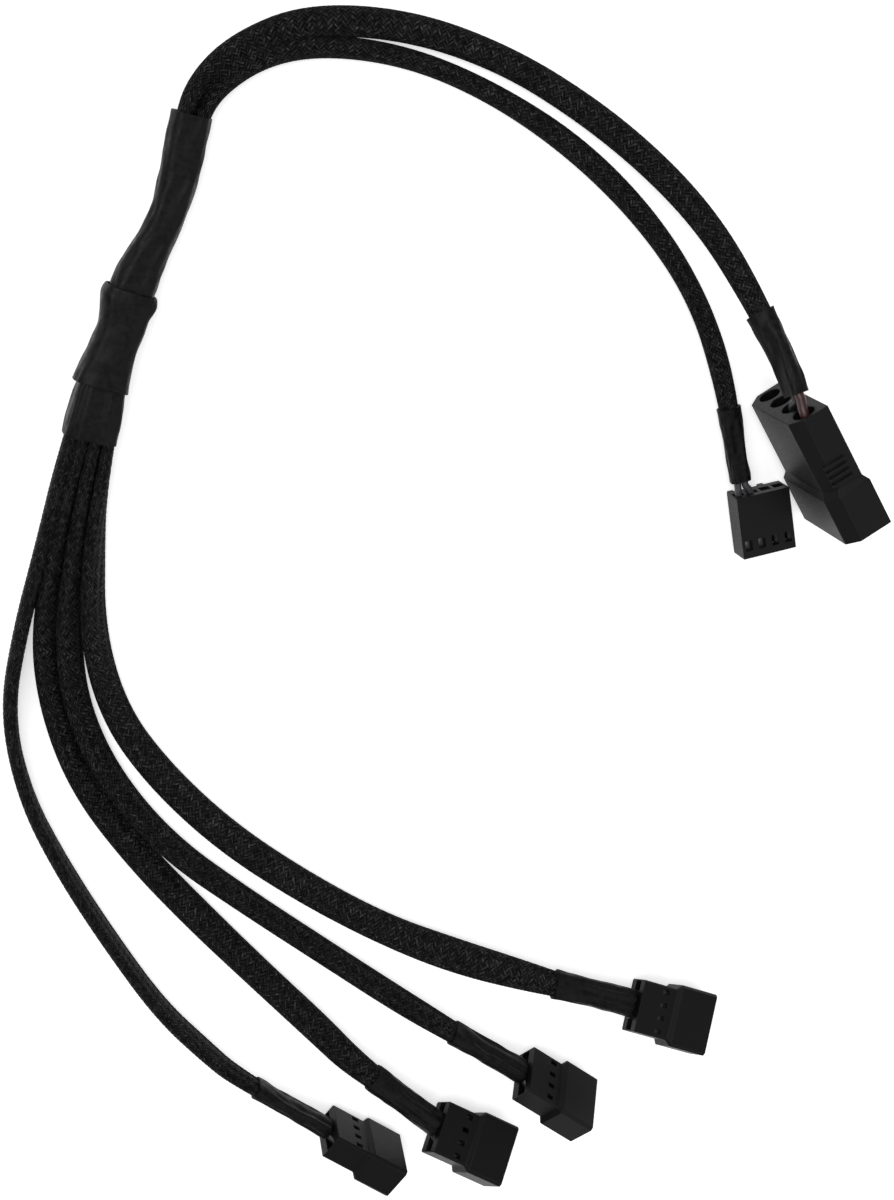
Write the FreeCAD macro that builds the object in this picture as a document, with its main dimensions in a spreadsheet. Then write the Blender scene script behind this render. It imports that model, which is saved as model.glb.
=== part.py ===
import FreeCAD, Part
import Sketcher
import math
import os
import re

# Fan splitter cable: a power plug and a header plug feed a heat-shrunk trunk,
# and the trunk branches into four sleeved leads that end in fan sockets.
# Millimetres, +Z up. The cable lies on the plane Z = 0.

Vector = FreeCAD.Vector
UP = Vector(0, 0, 1)

SIZES = [
    # Contacts and wires shared by the small connectors
    ("contact_pitch", 2.54, "contact spacing of the header plug and the fan sockets"),
    ("contact_hole", 1.9, "side of a square contact cavity"),
    ("contact_gap", 0.1, "clearance round a contact in its cavity"),
    ("pin_side", 0.64, "side of a square pin"),
    ("pin_hole", 1.0, "side of the square hole that a pin passes through"),
    ("contact_start", 3.0, "depth at which a header contact meets its wire"),
    ("signal_wire", 1.3, "insulation diameter of a fan or signal wire"),
    ("wire_row", 1.4, "wire spacing where a row leaves its collar"),
    ("socket_gap", 0.5, "bare wire between a fan collar and its socket"),
    ("header_gap", 2.2, "bare wire between the header collar and its plug"),
    ("power_gap", 2.6, "bare wire between the power collar and its plug"),
    ("wire_straight", 0.8, "straight stretch of a bare wire where it leaves its collar or meets its contact"),
    # Header plug
    ("header_width", 10.2, "header plug width"),
    ("header_thickness", 5.0, "header plug thickness without its ribs"),
    ("header_length", 11.6, "header plug length"),
    ("header_front", 1.0, "wall at the mating face"),
    ("rib_height", 0.9, "height of a polarizing rib"),
    ("rib_width", 1.1, "width of a polarizing rib"),
    ("rib_spacing", 5.8, "spacing of the two ribs"),
    ("rib_middle", -1.27, "middle of the pair of ribs, across the plug"),
    ("window_width", 1.3, "width of a contact window"),
    ("window_length", 1.9, "length of a contact window"),
    ("window_inset", 1.4, "contact window to mating face"),
    ("slot_length", 4.4, "length of an open slot under a contact"),
    # Fan sockets
    ("socket_length", 15.5, "fan socket length"),
    ("socket_rear", 7.1, "length of the rear block"),
    ("shroud_slope", 0.8, "length of the slope from the rear block out to the shroud"),
    ("rear_width", 10.0, "width of the rear block"),
    ("rear_thickness", 5.2, "thickness of the rear block"),
    ("rear_chamfer", 0.3, "chamfer on the corners of the rear block"),
    ("throat_depth", 3.6, "depth of the slot behind the contacts, in which the wires spread"),
    ("latch_width", 0.9, "width of a latch window in the rear block"),
    ("latch_length", 1.4, "length of a latch window"),
    ("shroud_wall", 0.65, "wall of the shroud"),
    ("mating_gap", 0.2, "clearance between a header plug and a shroud"),
    ("shroud_chamfer", 0.5, "chamfer on the corners of the shroud"),
    ("shroud_floor", 0.3, "shroud floor above that slope"),
    ("cavity_depth", 6.4, "depth of a contact cavity from the rear"),
    ("pin_reach", 6.2, "pin length inside the shroud"),
    ("key_gap", 0.15, "clearance on each side of a rib in its keyway"),
    # Power plug
    ("power_pitch", 5.08, "contact spacing of the power plug"),
    ("power_width", 21.0, "width of the rear block"),
    ("power_thickness", 7.2, "thickness of the rear block"),
    ("power_length", 25.0, "power plug length"),
    ("power_rear", 14.5, "length of the rear block"),
    ("power_flare", 0.7, "step from the rear block out to the shroud"),
    ("power_flare_run", 1.2, "length of the slope at that step"),
    ("power_wall", 1.0, "wall of the shroud"),
    ("power_chamfer", 2.2, "chamfer on the two keyed corners"),
    ("power_depth", 10.0, "depth of the shroud"),
    ("power_bore", 4.0, "contact bore"),
    ("power_barrel", 3.6, "contact barrel diameter"),
    ("power_pin", 2.13, "contact pin diameter"),
    ("power_reach", 8.4, "pin length inside the shroud"),
    ("power_tip", 0.9, "length of the tapered pin tip"),
    ("power_taper", 30.0, "taper of that tip, in degrees"),
    ("power_start", 4.0, "depth at which a contact meets its wire"),
    ("power_wire", 1.8, "insulation diameter of a power wire"),
    ("power_row", 1.9, "power wire spacing at the collar"),
    ("power_straight", 1.0, "straight stretch of a power wire where it leaves its collar"),
    ("grip_height", 0.45, "height of a grip ridge"),
    ("grip_width", 0.7, "width of a grip ridge"),
    ("grip_pitch", 1.25, "spacing of the grip ridges"),
    ("grip_start", 9.4, "rear face to the first grip ridge"),
    ("grip_reach", 4.2, "length of a grip ridge across the plug"),
    # Leads and their collars
    ("fan_lead", 3.4, "fan lead diameter"),
    ("power_lead", 3.4, "power lead diameter"),
    ("header_lead", 2.7, "header lead diameter"),
    ("collar_wall", 0.45, "wall of a heat-shrunk collar"),
    ("collar_seat", 4.0, "lead length inside its collar"),
    ("collar_thickness", 3.0, "thickness of a flattened collar end"),
    ("collar_side", 0.4, "collar width beside the outer wires"),
    ("fan_collar", 16.6, "fan collar length"),
    ("header_collar", 14.0, "header collar length"),
    ("power_collar", 15.0, "power collar length"),
    ("last_run", 9.0, "straight run of a lead into its collar"),
    # Trunk
    ("sleeve_wall", 0.45, "wall of a heat-shrunk sleeve"),
    ("sleeve_gap", 0.1, "clearance between one sleeve and the next"),
    ("bundle_gap", 0.1, "clearance between the leads in a sleeve, and round them"),
    ("oval_width", 1.13, "bore of the upper sleeve over the width of its two leads"),
    ("oval_height", 1.24, "height of that bore over the thicker lead"),
    ("oval_straight", 4.0, "straight stretch of the upper sleeve above the splice sleeve"),
    ("oval_inset", 5.2, "top of the upper sleeve to the turn of its two leads"),
    ("splice_sleeve", 15.5, "length of the splice sleeve"),
    ("splice_neck", 3.5, "length of its narrow end"),
    ("splice_flare", 3.5, "length of its flare"),
    ("upper_overlap", 2.0, "upper sleeve inside the splice sleeve"),
    ("lower_overlap", 4.0, "lower sleeve inside the splice sleeve"),
    ("lower_sleeve", 12.5, "length of the lower sleeve"),
    ("splice_length", 9.8, "length of a splice barrel"),
    ("splice_barrel", 2.2, "diameter of a splice barrel"),
    ("tach_wire", 1.0, "insulation diameter of the speed signal wire"),
    ("fan_straight", 4.0, "straight stretch of a fan lead below the lower sleeve"),
    # Layout on the table
    ("layout_width", 142.0, "spread of the cable along X"),
    ("layout_length", 204.0, "spread of the cable along Y"),
    ("layout_x", -3.9, "shift that brings the origin under the middle of the part"),
    ("layout_y", 14.84, "the same along Y"),
    ("trunk_x", -54.9, "top of the splice sleeve"),
    ("trunk_y", 57.0, "top of the splice sleeve"),
    ("trunk_yaw", -107.3, "direction of the splice sleeve, in degrees"),
]

# The places and routes below are drawn for this spread along X and Y
DRAWN_WIDTH = 142.0
DRAWN_LENGTH = 204.0

# Rear face, direction and roll of each connector as it lies, and the direction of its collar, in degrees,
# with the collar's shift to the left of the connector
PLACES = {
    "header": dict(x=57.3, y=17.4, yaw=-80.5, roll=0.0, collar_yaw=-79.0, collar_pitch=3.0, aside=-0.5),
    "power": dict(x=58.7, y=34.8, yaw=-60.5, roll=90.0, collar_yaw=-67.0, collar_pitch=22.0, aside=1.1),
    "fan_1": dict(x=35.5, y=-82.2, yaw=-23.0, roll=-24.0, collar_yaw=-23.0, collar_pitch=0.0, aside=0.0),
    "fan_2": dict(x=13.3, y=-93.0, yaw=-38.5, roll=-56.0, collar_yaw=-36.7, collar_pitch=2.0, aside=0.0),
    "fan_3": dict(x=-3.7, y=-102.4, yaw=-33.0, roll=-32.0, collar_yaw=-43.0, collar_pitch=1.0, aside=0.0),
    "fan_4": dict(x=-24.6, y=-99.7, yaw=-36.7, roll=-80.0, collar_yaw=-37.7, collar_pitch=2.0, aside=0.0),
}

# Contact positions that carry a wire, counted across each connector
WIRED = {
    "header": (0, 1),
    "power": (2, 3),
    "fan_1": (0, 1, 2, 3),
    "fan_2": (0, 1, 3),
    "fan_3": (0, 1, 3),
    "fan_4": (0, 1, 3),
}
POSITIONS = 4

# Side and level of each fan lead in the lower sleeve
SLOTS = {"fan_1": (1, -1), "fan_2": (1, 1), "fan_3": (-1, 1), "fan_4": (-1, -1)}

# Bends of the upper sleeve and the turn of its two leads beyond its top, above the height of the sleeve's
# middle line, and the free stretch of each lead from the trunk towards its connector
ROUTES = {
    "upper_sleeve": [(-49.4, 68.3, 0.0), (-44.6, 77.4, 0.0), (-40.9, 90.6, 0.0)],
    "power": [(-35.8, 97.2, 2.2), (-23.5, 100.8, 1.7), (-6.5, 99.4, 1.7), (10.0, 93.9, 1.7),
              (24.5, 85.2, 1.7), (36.3, 75.8, 2.4), (45.1, 66.2, 5.0)],
    "header": [(-31.4, 95.4, 1.7), (-20.5, 96.6, 1.4), (-6.0, 94.3, 1.4), (8.5, 88.2, 1.4),
               (23.0, 78.7, 1.4), (35.6, 66.0, 1.4), (44.6, 52.3, 1.7)],
    "fan_1": [(-61.8, 17.0, 2.6), (-63.3, 0.0, 1.7), (-60.3, -15.1, 1.7), (-52.8, -27.4, 1.7),
              (-41.3, -40.5, 1.7), (-27.2, -52.1, 1.7), (-12.9, -61.8, 2.2), (0.5, -68.0, 4.4)],
    "fan_2": [(-65.1, 16.0, 5.6), (-67.3, 1.0, 2.4), (-66.7, -13.0, 1.7), (-61.6, -27.0, 1.7),
              (-51.8, -41.0, 1.7), (-38.1, -53.2, 1.7), (-24.1, -64.8, 2.2), (-12.0, -74.3, 4.6)],
    "fan_3": [(-68.8, 16.0, 6.0), (-71.3, 1.0, 2.4), (-70.8, -13.0, 1.7), (-66.4, -27.6, 1.7),
              (-57.7, -41.6, 1.7), (-46.9, -55.3, 1.7), (-35.8, -68.4, 2.0), (-25.3, -80.3, 3.8)],
    "fan_4": [(-71.2, 16.4, 2.6), (-75.6, 1.6, 1.7), (-78.3, -13.2, 1.7), (-76.2, -28.8, 1.7),
              (-70.3, -43.2, 1.7), (-62.8, -57.8, 1.7), (-54.4, -72.4, 2.6), (-46.4, -81.4, 4.6)],
}

# Ratio of an arc's tangent length at a bend to the shorter of the two runs that meet there
ARC_RATIO = 0.45

# Largest ratio by which a swept tube's volume may differ from its section times its length
SWEEP_RATIO = 0.01

# Side of a contact's box in its cavity
CONTACT_SIDE = "contact_hole - 2 * contact_gap"

# Depth of a shroud's floor from the rear of its socket
SHROUD_BASE = "(socket_rear + shroud_slope + shroud_floor)"

# Bores of the sleeves, which follow from the leads inside them
OVAL_WIDTH = "((power_lead + header_lead + bundle_gap) * oval_width)"
OVAL_HEIGHT = "(max(power_lead; header_lead) * oval_height)"
LEAD_SPACING = "(fan_lead + bundle_gap)"
LOWER_BORE = f"(sqrt(2) * {LEAD_SPACING} + fan_lead + 2 * bundle_gap)"

doc = FreeCAD.newDocument("fan_splitter_cable")
sheet = doc.addObject("Spreadsheet::Sheet", "Sizes")
pieces = {}

rows = list(SIZES)
for place_name, place_values in PLACES.items():
    rows += [(f"{place_name}_{key}", value, f"{key} of the {place_name} connector")
             for key, value in place_values.items()]
aliases = {row[0] for row in rows}


def fill_sheet():
    for number, (alias, value, note) in enumerate(rows, 1):
        sheet.set(f"A{number}", note)
        sheet.set(f"B{number}", str(value))
        sheet.setAlias(f"B{number}", alias)
    doc.recompute()


def size(alias):
    return float(sheet.get(alias))


def cell(text):
    """A size expression in which every alias is read from the sheet."""
    return re.sub(r"[a-z]\w*", lambda word: f"Sizes.{word[0]}" if word[0] in aliases else word[0], text)


def value_of(text):
    return float(sheet.evalExpression(cell(text)))


def bind(thing, **expressions):
    for name, text in expressions.items():
        thing.setExpression(name, cell(text))


def publish(label, thing):
    thing.Label = label
    pieces[label] = thing
    return thing


# Sketches and features of the moulded pieces

def new_body(name):
    return doc.addObject("PartDesign::Body", name)


def new_sketch(body, name, role="XY_Plane", offset=None):
    plane = next(item for item in body.Origin.OriginFeatures if item.Role == role)
    sketch = body.newObject("Sketcher::SketchObject", name)
    sketch.AttachmentSupport = [(plane, "")]
    sketch.MapMode = "FlatFace"
    if offset:
        sketch.setExpression("AttachmentOffset.Base.z", cell(offset))
    return sketch


def fix_point(sketch, item, point, x, y):
    for kind, text in (("DistanceX", x), ("DistanceY", y)):
        index = sketch.addConstraint(Sketcher.Constraint(kind, -1, 1, item, point, value_of(text)))
        sketch.setExpression(f"Constraints[{index}]", cell(text))


def polygon(sketch, corners):
    """A closed outline through corners given as pairs of size expressions."""
    spots = [Vector(value_of(x), value_of(y), 0) for x, y in corners]
    first = sketch.GeometryCount
    count = len(spots)
    for number, spot in enumerate(spots):
        sketch.addGeometry(Part.LineSegment(spot, spots[(number + 1) % count]), False)
    for number, (x, y) in enumerate(corners):
        after = first + (number + 1) % count
        sketch.addConstraint(Sketcher.Constraint("Coincident", first + number, 2, after, 1))
        fix_point(sketch, first + number, 1, x, y)


def rectangle(sketch, x, y, width, height):
    """A rectangle about the middle point x, y."""
    left, right = f"{x} - ({width}) / 2", f"{x} + ({width}) / 2"
    low, high = f"{y} - ({height}) / 2", f"{y} + ({height}) / 2"
    polygon(sketch, [(left, low), (right, low), (right, high), (left, high)])


def circle(sketch, x, diameter):
    """A circle on the sketch's X axis."""
    item = sketch.addGeometry(Part.Circle(Vector(value_of(x), 0, 0), UP, value_of(diameter) / 2), False)
    sketch.addConstraint(Sketcher.Constraint("PointOnObject", item, 3, -1))
    index = sketch.addConstraint(Sketcher.Constraint("DistanceX", -1, 1, item, 3, value_of(x)))
    sketch.setExpression(f"Constraints[{index}]", cell(x))
    index = sketch.addConstraint(Sketcher.Constraint("Diameter", item, value_of(diameter)))
    sketch.setExpression(f"Constraints[{index}]", cell(diameter))


def pad(body, name, sketch, length, midplane=False):
    feature = body.newObject("PartDesign::Pad", name)
    feature.Profile = sketch
    feature.SideType = "Symmetric" if midplane else "One side"
    bind(feature, Length=length)
    doc.recompute()
    return feature


def pocket(body, name, sketch, length, reverse=False):
    """A cut of a given depth that has to remove material."""
    before = body.Shape.Volume
    feature = body.newObject("PartDesign::Pocket", name)
    feature.Profile = sketch
    feature.Reversed = reverse
    bind(feature, Length=length)
    doc.recompute()
    if not body.Shape.Volume < before:
        raise ValueError(f"{name} cuts nothing")
    return feature


def loft(body, name, sketches):
    feature = body.newObject("PartDesign::AdditiveLoft", name)
    feature.Profile = sketches[0]
    feature.Sections = sketches[1:]
    feature.Ruled = True
    doc.recompute()
    return feature


def cut_outline(width, thickness, chamfer):
    """A rectangle with all four corners cut off."""
    corners = []
    for x, y in (("-", "-"), ("", "-"), ("", ""), ("-", "")):
        wide = f"{x} ({width} / 2)", f"{y} ({thickness} / 2 - {chamfer})"
        tall = f"{x} ({width} / 2 - {chamfer})", f"{y} ({thickness} / 2)"
        corners += [wide, tall] if x == y else [tall, wide]
    return corners


def keyed_outline(width, thickness, chamfer):
    """A rectangle whose two corners on the +Y side are cut off."""
    return [(f"- {width} / 2", f"- {thickness} / 2"),
            (f"{width} / 2", f"- {thickness} / 2"),
            (f"{width} / 2", f"{thickness} / 2 - {chamfer}"),
            (f"{width} / 2 - {chamfer}", f"{thickness} / 2"),
            (f"{chamfer} - {width} / 2", f"{thickness} / 2"),
            (f"- {width} / 2", f"{thickness} / 2 - {chamfer}")]


def contact_x(position, pitch="contact_pitch"):
    return f"{position - (POSITIONS - 1) / 2} * {pitch}"


# Places of the connectors

def axes(yaw, roll=0.0, pitch=0.0):
    """Width, thickness and mating directions of a connector or collar."""
    yaw, roll, pitch = (math.radians(angle) for angle in (yaw, roll, pitch))
    forward = Vector(math.cos(yaw) * math.cos(pitch), math.sin(yaw) * math.cos(pitch), math.sin(pitch))
    left = Vector(-math.sin(yaw), math.cos(yaw), 0)
    raised = forward.cross(left)
    across = left * math.cos(roll) + raised * math.sin(roll)
    return across, forward.cross(across), forward


def placement(base, directions):
    return FreeCAD.Placement(base, FreeCAD.Rotation(*directions, "ZXY"))


def on_table(x, y, z=0.0):
    """A drawn place, stretched to the cable's spread and moved to the part's origin."""
    wide, long = size("layout_width") / DRAWN_WIDTH, size("layout_length") / DRAWN_LENGTH
    return Vector(x * wide + size("layout_x"), y * long + size("layout_y"), z)


def connector(name):
    """Rear middle point and directions of a connector that rests on the table."""
    directions = axes(size(f"{name}_yaw"), size(f"{name}_roll"))
    across, through, forward = directions
    if name == "header":
        rest = value_of("rib_height + header_thickness / 2")
    elif name == "power":
        rest = value_of("power_width / 2 + power_flare")
    else:
        half_width = value_of("header_width / 2 + mating_gap + shroud_wall")
        half_thickness = value_of("header_thickness / 2 + mating_gap + shroud_wall")
        cut = size("shroud_chamfer")
        rest = max((half_width - cut * a) * abs(across.z) + (half_thickness - cut * (1 - a)) * abs(through.z)
                   for a in (0, 1))
    return on_table(size(f"{name}_x"), size(f"{name}_y"), rest), directions


def collar_axis(name):
    """Front middle point and directions of the collar behind a connector."""
    base, (across, through, forward) = connector(name)
    pitch = "power_pitch" if name == "power" else "contact_pitch"
    wired = WIRED[name] if len(WIRED[name]) == 2 else range(POSITIONS)
    middle = sum(value_of(contact_x(position, pitch)) for position in wired) / len(wired)
    aside = UP.cross(forward) * size(f"{name}_aside")
    front = base + across * middle - forward * size(gap_of(name)) + aside
    return front, axes(size(f"{name}_collar_yaw"), size(f"{name}_roll"), size(f"{name}_collar_pitch"))


def lead_of(name):
    return "fan_lead" if name.startswith("fan") else f"{name}_lead"


def gap_of(name):
    return "socket_gap" if name.startswith("fan") else f"{name}_gap"


def collar_of(name):
    return "fan_collar" if name.startswith("fan") else f"{name}_collar"


# Round tubes along straight runs and tangent arcs

def rounded_path(points):
    """A wire of straight runs and tangent arcs, with the radius of each arc."""
    edges, radii = [], []
    start = points[0]
    for before, corner, after in zip(points, points[1:], points[2:]):
        back, ahead = before - corner, after - corner
        reach = ARC_RATIO * min(back.Length, ahead.Length)
        back.normalize()
        ahead.normalize()
        half_turn = (math.pi - back.getAngle(ahead)) / 2
        radius = reach / math.tan(half_turn)
        inward = (back + ahead).normalize()
        middle = corner + inward * (radius / math.cos(half_turn) - radius)
        edges.append(Part.LineSegment(start, corner + back * reach).toShape())
        edges.append(Part.Arc(corner + back * reach, middle, corner + ahead * reach).toShape())
        start = corner + ahead * reach
        radii.append(radius)
    edges.append(Part.LineSegment(start, points[-1]).toShape())
    return Part.Wire(edges), radii


def spine_of(name, points):
    wire, radii = rounded_path(points)
    spine = doc.addObject("Part::Feature", f"{name}_path")
    spine.Shape = wire
    return spine, radii


def sweep_along(name, spine, section):
    sweep = doc.addObject("Part::Sweep", name)
    sweep.Sections = [section]
    sweep.Spine = (spine, [f"Edge{number}" for number in range(1, len(spine.Shape.Edges) + 1)])
    sweep.Solid = True
    doc.recompute()
    expected = Part.Face(Part.Wire(section.Shape.Edges)).Area * spine.Shape.Length
    if abs(sweep.Shape.Volume / expected - 1) > SWEEP_RATIO:
        raise ValueError(f"{name} has a volume of {sweep.Shape.Volume}, not {expected}")
    return sweep


def tube(name, points, diameter):
    spine, radii = spine_of(name, points)
    ring = doc.addObject("Part::Circle", f"{name}_section")
    bind(ring, Radius=f"{diameter} / 2")
    ring.Placement = FreeCAD.Placement(points[0], FreeCAD.Rotation(UP, points[1] - points[0]))
    doc.recompute()
    return sweep_along(name, spine, ring), radii


def oval(name, width, height, place):
    ring = doc.addObject("Part::Ellipse", name)
    bind(ring, MajorRadius=f"{width} / 2", MinorRadius=f"{height} / 2")
    ring.Placement = place
    doc.recompute()
    return ring


def ruled_loft(name, sections):
    feature = doc.addObject("Part::Loft", name)
    feature.Sections = sections
    feature.Solid = True
    feature.Ruled = True
    doc.recompute()
    return feature


def cut(label, base, tool):
    feature = doc.addObject("Part::Cut", label)
    feature.Base = base
    feature.Tool = tool
    doc.recompute()
    return publish(label, feature)


def cylinder(name, diameter, length, place):
    feature = doc.addObject("Part::Cylinder", name)
    bind(feature, Radius=f"{diameter} / 2", Height=length)
    feature.Placement = place
    doc.recompute()
    return feature


# Header plug

def header_plug():
    base, directions = connector("header")
    body = new_body("header_plug")
    half, low = "header_width / 2", "- header_thickness / 2"
    outline = [(f"- {half}", "header_thickness / 2"), (f"- {half}", low)]
    for side in ("-", "+"):
        middle = f"rib_middle {side} rib_spacing / 2"
        near, far = f"{middle} - rib_width / 2", f"{middle} + rib_width / 2"
        outline += [(near, low), (near, f"{low} - rib_height"), (far, f"{low} - rib_height"), (far, low)]
    outline += [(half, low), (half, "header_thickness / 2")]
    block = new_sketch(body, "header_outline")
    polygon(block, outline)
    pad(body, "header_block", block, "header_length")

    cavities = new_sketch(body, "header_cavities")
    holes = new_sketch(body, "header_pin_holes", offset="header_length")
    windows = new_sketch(body, "header_windows", "XZ_Plane")
    slots = new_sketch(body, "header_slots", "XZ_Plane")
    for position in range(POSITIONS):
        x = contact_x(position)
        rectangle(cavities, x, "0 * contact_hole", "contact_hole", "contact_hole")
        rectangle(holes, x, "0 * pin_hole", "pin_hole", "pin_hole")
        middle = "header_length - window_inset - window_length / 2"
        rectangle(windows, x, middle, "window_width", "window_length")
        rectangle(slots, x, "header_length - slot_length / 2", "window_width", "slot_length")
    pocket(body, "header_cavity_cut", cavities, "header_length - header_front", reverse=True)
    pocket(body, "header_hole_cut", holes, "header_front")
    pocket(body, "header_window_cut", windows, "header_thickness")
    pocket(body, "header_slot_cut", slots, "header_thickness", reverse=True)
    body.Placement = placement(base, directions)
    publish("header_plug_housing", body)

    contacts = new_body("header_contacts")
    boxes = new_sketch(contacts, "header_contact_boxes", offset="contact_start")
    for position in WIRED["header"]:
        rectangle(boxes, contact_x(position), "0 * pin_hole", CONTACT_SIDE, CONTACT_SIDE)
        rectangle(boxes, contact_x(position), "0 * pin_hole", "pin_hole", "pin_hole")
    pad(contacts, "header_contact_pad", boxes, "header_length - header_front - contact_start")
    contacts.Placement = placement(base, directions)
    publish("header_plug_terminals", contacts)


# Fan sockets

def fan_socket(name):
    base, directions = connector(name)
    number = name[-1]
    inner_width, inner_height = "header_width + 2 * mating_gap", "header_thickness + 2 * mating_gap"
    outer_width, outer_height = f"({inner_width} + 2 * shroud_wall)", f"({inner_height} + 2 * shroud_wall)"

    body = new_body(f"socket_{number}")
    outlines = (
        ("rear", None, "rear_width", "rear_thickness", "rear_chamfer"),
        ("step", "socket_rear", "rear_width", "rear_thickness", "rear_chamfer"),
        ("shroud", "socket_rear + shroud_slope", outer_width, outer_height, "shroud_chamfer"),
        ("front", "socket_length", outer_width, outer_height, "shroud_chamfer"),
    )
    sketches = []
    for part_name, offset, width, thickness, chamfer in outlines:
        outline = new_sketch(body, f"socket_{number}_{part_name}", offset=offset)
        polygon(outline, cut_outline(width, thickness, chamfer))
        sketches.append(outline)
    doc.recompute()
    loft(body, f"socket_{number}_block", sketches)

    half, low, high = f"({inner_width}) / 2", f"- ({inner_height}) / 2", f"({inner_height}) / 2"
    mouth = [(f"- {half}", high), (f"- {half}", low)]
    for side in ("-", "+"):
        middle = f"rib_middle {side} rib_spacing / 2"
        near, far = f"{middle} - rib_width / 2 - key_gap", f"{middle} + rib_width / 2 + key_gap"
        deep = f"{low} - rib_height - mating_gap"
        mouth += [(near, low), (near, deep), (far, deep), (far, low)]
    mouth += [(half, low), (half, high)]
    inside = new_sketch(body, f"socket_{number}_mouth", offset="socket_length")
    polygon(inside, mouth)
    pocket(body, f"socket_{number}_mouth_cut", inside, f"socket_length - {SHROUD_BASE}")

    throat = new_sketch(body, f"socket_{number}_throat")
    row = f"{POSITIONS - 1} * contact_pitch + contact_hole"
    rectangle(throat, "0 * contact_hole", "0 * contact_hole", row, "contact_hole")
    pocket(body, f"socket_{number}_throat_cut", throat, "throat_depth", reverse=True)

    cavities = new_sketch(body, f"socket_{number}_cavities")
    holes = new_sketch(body, f"socket_{number}_holes")
    windows = new_sketch(body, f"socket_{number}_windows", "XZ_Plane")
    for position in range(POSITIONS):
        x = contact_x(position)
        rectangle(cavities, x, "0 * contact_hole", "contact_hole", "contact_hole")
        rectangle(holes, x, "0 * pin_hole", "pin_hole", "pin_hole")
        rectangle(windows, x, "cavity_depth - latch_length", "latch_width", "latch_length")
    pocket(body, f"socket_{number}_cavity_cut", cavities, "cavity_depth", reverse=True)
    pocket(body, f"socket_{number}_hole_cut", holes, SHROUD_BASE, reverse=True)
    pocket(body, f"socket_{number}_window_cut", windows, "rear_thickness")
    body.Placement = placement(base, directions)
    publish(f"fan_socket_{number}_housing", body)

    pins = new_body(f"socket_{number}_contacts")
    boxes = new_sketch(pins, f"socket_{number}_boxes", offset="throat_depth")
    blades = new_sketch(pins, f"socket_{number}_blades", offset="cavity_depth")
    for position in WIRED[name]:
        x = contact_x(position)
        rectangle(boxes, x, "0 * pin_side", CONTACT_SIDE, CONTACT_SIDE)
        rectangle(blades, x, "0 * pin_side", "pin_side", "pin_side")
    pad(pins, f"socket_{number}_box_pad", boxes, "cavity_depth - throat_depth")
    pad(pins, f"socket_{number}_blade_pad", blades, f"{SHROUD_BASE} - cavity_depth + pin_reach")
    pins.Placement = placement(base, directions)
    publish(f"fan_socket_{number}_pins", pins)


# Power plug

def power_plug():
    base, directions = connector("power")
    body = new_body("power_plug")
    flared = "(power_width + 2 * power_flare)", "(power_thickness + 2 * power_flare)"
    outlines = (
        ("rear", None, "power_width", "power_thickness"),
        ("slope", "power_rear", "power_width", "power_thickness"),
        ("step", "power_rear + power_flare_run", *flared),
        ("front", "power_length", *flared),
    )
    sketches = []
    for name, offset, width, thickness in outlines:
        outline = new_sketch(body, f"power_{name}", offset=offset)
        polygon(outline, keyed_outline(width, thickness, "power_chamfer"))
        sketches.append(outline)
    doc.recompute()
    loft(body, "power_block", sketches)

    inner = [f"({outer} - 2 * power_wall)" for outer in flared]
    mouth = new_sketch(body, "power_mouth", offset="power_length")
    polygon(mouth, keyed_outline(*inner, "power_chamfer"))
    pocket(body, "power_mouth_cut", mouth, "power_depth")

    bores = new_sketch(body, "power_bores")
    for position in range(POSITIONS):
        circle(bores, contact_x(position, "power_pitch"), "power_bore")
    pocket(body, "power_bore_cut", bores, "power_length - power_depth", reverse=True)

    ridges = new_sketch(body, "power_ridges", "XZ_Plane")
    for ridge in range(POSITIONS):
        middle = f"grip_start + {ridge} * grip_pitch + grip_width / 2"
        for side in ("-", ""):
            rectangle(ridges, f"{side} (power_width / 2)", middle, "2 * grip_height", "grip_width")
    pad(body, "power_grip", ridges, "grip_reach", midplane=True)
    body.Placement = placement(base, directions)
    publish("power_plug_housing", body)

    pins = new_body("power_contacts")
    barrels = new_sketch(pins, "power_barrels", offset="power_start")
    shanks = new_sketch(pins, "power_shanks", offset="power_length - power_depth")
    for position in WIRED["power"]:
        circle(barrels, contact_x(position, "power_pitch"), "power_barrel")
        circle(shanks, contact_x(position, "power_pitch"), "power_pin")
    pad(pins, "power_barrel_pad", barrels, "power_length - power_depth - power_start")
    pad(pins, "power_shank_pad", shanks, "power_reach")
    tips = new_sketch(pins, "power_tips", offset="power_length - power_depth + power_reach")
    for position in WIRED["power"]:
        circle(tips, contact_x(position, "power_pitch"), "power_pin")
    tip = pad(pins, "power_tip_pad", tips, "power_tip")
    bind(tip, TaperAngle="- power_taper")
    pins.Placement = placement(base, directions)
    publish("power_plug_pins", pins)


# Wires, collars and leads

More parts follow.
